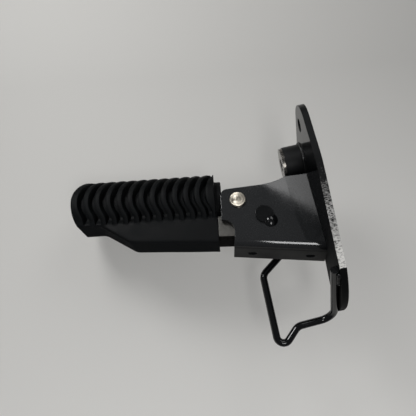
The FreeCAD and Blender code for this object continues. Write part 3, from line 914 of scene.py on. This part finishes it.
@dataclass
class WeldBeads:
    """Rippled weld runs in place of one node of plain beads. Sizes in millimetres."""

    name: str
    node: str
    lines: list[np.ndarray]
    thickness: float = 1.7
    ripple_mm: float = 1.5
    ripple: float = 0.09
    trail: float = 1.3
    drift: float = 0.07
    drift_waves: Pair = (0.9, 0.37)
    drift_start: float = 1.0
    least_end: float = 0.02
    sideways: Point = (0.8, 0.5, 0.33)
    columns: int = 20

    def tube(self, line: np.ndarray) -> np.ndarray:
        """Round bead along a middle line.

        Each row is a circle square to the line. Its radius swells and sinks in ripples that trail
        at the sides, as a weld pool leaves them, drifts slowly, and runs out round at both ends.

        Args:
            line: Points of the middle line, shape (rows, 3).

        Returns:
            Array of shape (rows, columns, 3).
        """
        way = np.gradient(line, axis=0)
        way /= np.linalg.norm(way, axis=1, keepdims=True)
        side = np.cross(way, np.array(self.sideways))
        side /= np.linalg.norm(side, axis=1, keepdims=True)
        rise = np.cross(way, side)
        steps = np.linalg.norm(np.diff(line, axis=0), axis=1)
        run = np.concatenate([[0.0], np.cumsum(steps)])[:, None]
        angle = np.linspace(0.0, 2.0 * math.pi, self.columns, endpoint=False)[None, :]
        phase = 2.0 * math.pi * run / self.ripple_mm + self.trail * np.cos(angle)
        swell = 1.0 + self.ripple * np.sin(phase)
        quick, slow = self.drift_waves
        drift = 1.0 + self.drift * np.sin(quick * run + self.drift_start) * np.sin(slow * run)
        to_end = np.clip(np.minimum(run, run[-1] - run) / self.thickness, 0.0, 1.0)
        ease = np.sqrt(np.clip(1.0 - (1.0 - to_end) ** 2, self.least_end, 1.0))
        radius = self.thickness * swell * drift * ease
        out = side[:, None, :] * np.cos(angle)[..., None] + rise[:, None, :] * np.sin(angle)[..., None]
        return line[:, None, :] + radius[..., None] * out

    def build(self, finish: bpy.types.Material) -> bpy.types.Object:
        """Makes all runs of the node as one piece.

        Args:
            finish: Material of the beads.

        Returns:
            The piece.
        """
        piece = grid_piece(self.name, [self.tube(line) for line in self.lines])
        piece.data.materials.append(finish)
        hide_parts(self.node)
        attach(piece, Body.BRACKET.value)
        return piece


@dataclass
class Welds:
    """Where the welds of the bracket, the boss and the guard wire run. Sizes in millimetres."""

    plate_x: float = -4.0
    boss: Pair = (29.0, -11.2)
    boss_r: float = 12.2
    boss_bead: float = 1.0
    boss_lift: float = 0.2
    boss_turn: Pair = (0.6 * math.pi, 2.58 * math.pi)
    boss_steps: int = 420
    cheek_inner: float = 13.0
    cheek_low: float = -26.3
    cheek_high: float = 13.0
    cheek_lift: float = 0.7
    wire_r: float = 2.5
    wire_lift: float = 0.5
    wire_length: float = 12.0
    wire_start: Point = (-6.5, 7.0, -96.0)
    wire_way: Point = (0.0, 0.9282, -0.3721)
    loop_start: Pair = (-47.7, -80.6)
    loop_end: Pair = (-23.0, -61.5)
    loop_out: float = 18.7
    straight_steps: int = 90

    def straight(self, start: np.ndarray, end: np.ndarray) -> np.ndarray:
        """Middle line from one point to another, in short even steps."""
        return start + np.linspace(0.0, 1.0, self.straight_steps)[:, None] * (end - start)

    def boss_ring(self) -> list[np.ndarray]:
        """Nearly closed circle round the foot of the boss.

        Returns:
            Its middle line.
        """
        turn = np.linspace(*self.boss_turn, self.boss_steps)
        x = np.full_like(turn, self.plate_x - self.boss_lift)
        y = self.boss[0] + self.boss_r * np.cos(turn)
        z = self.boss[1] + self.boss_r * np.sin(turn)
        return [np.stack([x, y, z], axis=-1)]

    def cheek_seams(self) -> list[np.ndarray]:
        """Upright lines in the inner corners between the plate and the two cheeks.

        Returns:
            One middle line for each cheek.
        """
        reach = from_bracket(np.array([1.0, 0.0, 0.0])) - PIVOT
        lines = []
        for side in (-1.0, 1.0):
            ends = []
            for z in (self.cheek_low, self.cheek_high):
                foot = from_bracket(np.array([0.0, side * (self.cheek_inner - self.cheek_lift), z]))
                ends.append(foot + reach * ((self.plate_x - self.cheek_lift - foot[0]) / reach[0]))
            lines.append(self.straight(ends[0], ends[1]))
        return lines

    def loop_point(self, x: float, z: float) -> np.ndarray:
        """Point of the wire's middle line in the loop's plane beside the front cheek."""
        out = pin_way()
        return np.array([x, PIVOT[1] + (self.loop_out - (x - PIVOT[0]) * out[0]) / out[1], z])

    def wire_seams(self) -> list[np.ndarray]:
        """Lines on both sides of the wire, where it lies on the plate and on the front cheek.

        Returns:
            Two middle lines on the plate and two on the cheek.
        """
        end = self.loop_point(*self.loop_end)
        way = end - self.loop_point(*self.loop_start)
        way /= np.linalg.norm(way)
        plate_out = np.array([-1.0, 0.0, 0.0])
        runs = ((np.array(self.wire_start), np.array(self.wire_way), plate_out),
                (end - way * self.wire_length, way, pin_way()))
        lines = []
        for at, along, out in runs:
            across = np.cross(along, out)
            for side in (-1.0, 1.0):
                start = at - out * (self.wire_r - self.wire_lift) + across * side * self.wire_r
                lines.append(self.straight(start + along, start + along * self.wire_length))
        return lines

    def build(self, finish: bpy.types.Material) -> list[bpy.types.Object]:
        """Makes the beads of the three nodes.

        Args:
            finish: Material of the beads.

        Returns:
            The pieces.
        """
        boss = WeldBeads("boss_weld_bead", "boss_weld", self.boss_ring(), self.boss_bead)
        cheeks = WeldBeads("bracket_weld_beads", "bracket_welds", self.cheek_seams())
        wire = WeldBeads("guard_weld_beads", "guard_welds", self.wire_seams())
        return [beads.build(finish) for beads in (boss, cheeks, wire)]


@dataclass
class Ironwork:
    """The steel pieces whose solids are shown as they are, each with its finish.

    The channel has the sprayed enamel with painted shade on faces that look down, the collar a thick
    one put on with a brush. The bar is dark zinc with painted shade on faces that look down, the
    bush zinc that was handled bright.
    """

    satin: tuple[str, ...] = ("clevis_bracket",)
    brushed_on: tuple[str, ...] = ("boss_collar",)
    gloss: tuple[str, ...] = ("guard_wire", "stop_pin", "stop_pin_tacks")
    zinc: tuple[str, ...] = ("pin_washer", "split_pin", "thrust_washers")
    zinc_shaded_underneath: tuple[str, ...] = ("peg_bar",)
    worn_zinc: tuple[str, ...] = ("boss_bush",)
    turned: tuple[str, ...] = ("clevis_pin",)
    plate: tuple[str, ...] = ("mounting_plate",)

    def dress(self, gloss: bpy.types.Material) -> None:
        """Puts each finish on its solids.

        Args:
            gloss: The glossy enamel, which the weld beads share.
        """
        # The channel's faces that look down get painted shade
        sprayed = Enamel(dull_and_shaded_below=0.75, specular=0.6)
        thick = Enamel("brushed_on_black_enamel", "#0C0D0E", "#161718", roughness=0.50, grain_mm=0.9,
                       peel=0.08, edge_mm=0.4, specular=0.22)
        worn = ZincPlate("handled_zinc_steel", "#8C8983", "#5F5C58", roughness=0.24)
        # The bar's faces that look down get painted shade
        shaded_underside = ZincPlate("zinc_steel_with_painted_shade", "#5C5B58", "#3C3B39", roughness=0.44, shaded_underside=0.95, edge_mm=0.8)
        for names, material in ((self.satin, sprayed.build()), (self.brushed_on, thick.build()),
                                (self.gloss, gloss), (self.zinc, ZincPlate().build()),
                                (self.worn_zinc, worn.build()), (self.zinc_shaded_underneath, shaded_underside.build()),
                                (self.turned, TurnedZinc().build()),
                                (self.plate, CutPlateEnamel().build())):
            for name in names:
                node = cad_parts[name]
                if not node.material_slots:
                    node.data.materials.append(material)
                node.material_slots[0].material = material
                LOG.info("%s gets %s", name, material.name)


@dataclass(frozen=True)
class SoftLamp:
    """Lamp with an even rectangular face. Places and sizes in millimetres.

    Its radiance is the brightness of that face, where 1 is white; its roll is a turn about its
    own axis, in degrees.
    """

    name: str
    at: Point
    aim: Point
    size: Pair
    radiance: float
    roll: float = 0.0

    def build(self) -> None:
        """Adds the lamp, facing the point that it aims at."""
        data = bpy.data.lights.new(self.name, "AREA")
        data.shape = "RECTANGLE"
        data.size, data.size_y = self.size[0] * MM, self.size[1] * MM
        data.energy = self.radiance * math.pi * data.size * data.size_y
        way = (Vector(self.aim) - Vector(self.at)).normalized()
        turn = way.to_track_quat("-Z", "Y").to_matrix().to_4x4()
        turn = turn @ Matrix.Rotation(math.radians(self.roll), 4, "Z")
        lamp = bpy.data.objects.new(self.name, data)
        lamp.matrix_world = Matrix.Translation(Vector(self.at) * MM) @ turn
        bpy.context.scene.collection.objects.link(lamp)


# Three lamps before the sheet, and one behind it for the object's far side
LAMPS = (
    SoftLamp("key", (-176.0, -325.0, 156.0), (-10.0, 24.0, -35.0), (140.0, 140.0), 19.0, 45.0),
    SoftLamp("right", (205.0, -318.0, 195.0), (-10.0, 24.0, -35.0), (240.0, 240.0), 2.9, 45.0),
    SoftLamp("front", (66.0, -510.0, -357.0), (-50.0, 25.0, -40.0), (125.0, 220.0), 9.5),
    SoftLamp("far_side", (40.0, 430.0, 240.0), (-70.0, 40.0, -40.0), (320.0, 320.0), 4.5),
)


@dataclass
class Studio:
    """Camera, pale backdrop, soft lamps and surround, in the part's frame, in millimetres."""

    eye: Point = (-48.57, -241.73, -144.57)
    right: Point = (0.9736, 0.1636, -0.1594)
    forward: Point = (-0.0916, 0.919, 0.3834)
    lens: float = 36.09
    sensor: float = 36.0
    nearest: float = 10.0
    sheet_normal: Point = (-0.236, 0.928, 0.287)
    sheet_half: float = 1500.0
    middle: Point = (-70.0, 30.0, -50.0)
    surround_colour: str = "#E8E9EC"
    surround_light: float = 0.14
    surround_mirrored: float = 0.03
    surround_seen: float = 0.30

    def camera(self) -> None:
        """Places the camera by its right and forward directions."""
        forward = Vector(self.forward).normalized()
        right = Vector(self.right)
        right = (right - forward * right.dot(forward)).normalized()
        up = right.cross(forward)
        data = bpy.data.cameras.new("camera")
        data.sensor_width = self.sensor
        data.lens = self.lens
        data.clip_start = self.nearest * MM
        data.dof.use_dof = False
        camera = bpy.data.objects.new("camera", data)
        turn = Matrix((right, up, -forward)).transposed().to_4x4()
        camera.matrix_world = Matrix.Translation(Vector(self.eye) * MM) @ turn
        bpy.context.scene.collection.objects.link(camera)
        bpy.context.scene.camera = camera

    def backdrop(self) -> None:
        """Lays the pale sheet behind the object, touching its deepest point."""
        normal = Vector(self.sheet_normal).normalized()
        deepest = max(normal.dot(node.matrix_world @ Vector(corner))
                      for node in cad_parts.values() for corner in node.bound_box)
        right = normal.cross(Vector((0.0, 0.0, 1.0))).normalized()
        up = right.cross(normal)
        centre = Vector(self.middle) * MM
        centre = centre + normal * (deepest - normal.dot(centre))
        half = self.sheet_half * MM
        corners = [centre + right * a * half + up * b * half
                   for a, b in ((-1, -1), (-1, 1), (1, 1), (1, -1))]
        mesh = bpy.data.meshes.new("backdrop")
        mesh.from_pydata([tuple(corner) for corner in corners], [], [(0, 1, 2, 3)])
        if mesh.polygons[0].normal.dot(normal) > 0.0:
            mesh.flip_normals()
        sheet = bpy.data.objects.new("backdrop", mesh)
        sheet.data.materials.append(PaleCloth().build())
        bpy.context.scene.collection.objects.link(sheet)

    def surround(self) -> None:
        """Adds an even world that looks paler than it lights, and a little paler in reflections."""
        world = bpy.data.worlds.new("surround")
        world.use_nodes = True
        world.node_tree.nodes.clear()
        tree = world.node_tree
        ray = add_node(tree, "ShaderNodeLightPath")
        mirrored = add_node(tree, "ShaderNodeMath",
                            {1: self.surround_mirrored, 2: self.surround_light},
                            {0: ray.outputs["Is Glossy Ray"]}, operation="MULTIPLY_ADD")
        level = add_node(tree, "ShaderNodeMath", {1: self.surround_seen},
                         {0: ray.outputs["Is Camera Ray"], 2: mirrored.outputs["Value"]},
                         operation="MULTIPLY_ADD")
        even = add_node(tree, "ShaderNodeBackground", {"Color": linear(self.surround_colour)},
                        {"Strength": level.outputs["Value"]})
        add_node(tree, "ShaderNodeOutputWorld", links={"Surface": even.outputs["Background"]})
        bpy.context.scene.world = world

    def build(self) -> None:
        """Sets the camera, the backdrop, the lamps and the surround."""
        bpy.context.scene.view_settings.view_transform = "Standard"
        self.camera()
        self.backdrop()
        for lamp in LAMPS:
            lamp.build()
        self.surround()


def main() -> None:
    """Builds the footpeg's pieces in order and sets the stage."""
    logging.basicConfig(level=logging.INFO, format="%(name)s: %(message)s")
    Studio().build()
    gloss = Enamel("dipped_gloss_enamel", "#090A0B", "#131415", roughness=0.08, grain_mm=0.9,
                   peel=0.05, edge_mm=0.3, specular=0.4).build()
    Ironwork().dress(gloss)
    pieces = Welds().build(gloss)
    pieces.append(PegRubber().build(MouldedRubber().build()))
    for piece in pieces:
        LOG.info("%s has %d faces", piece.name, len(piece.data.polygons))


if __name__ == "__main__":
    main()
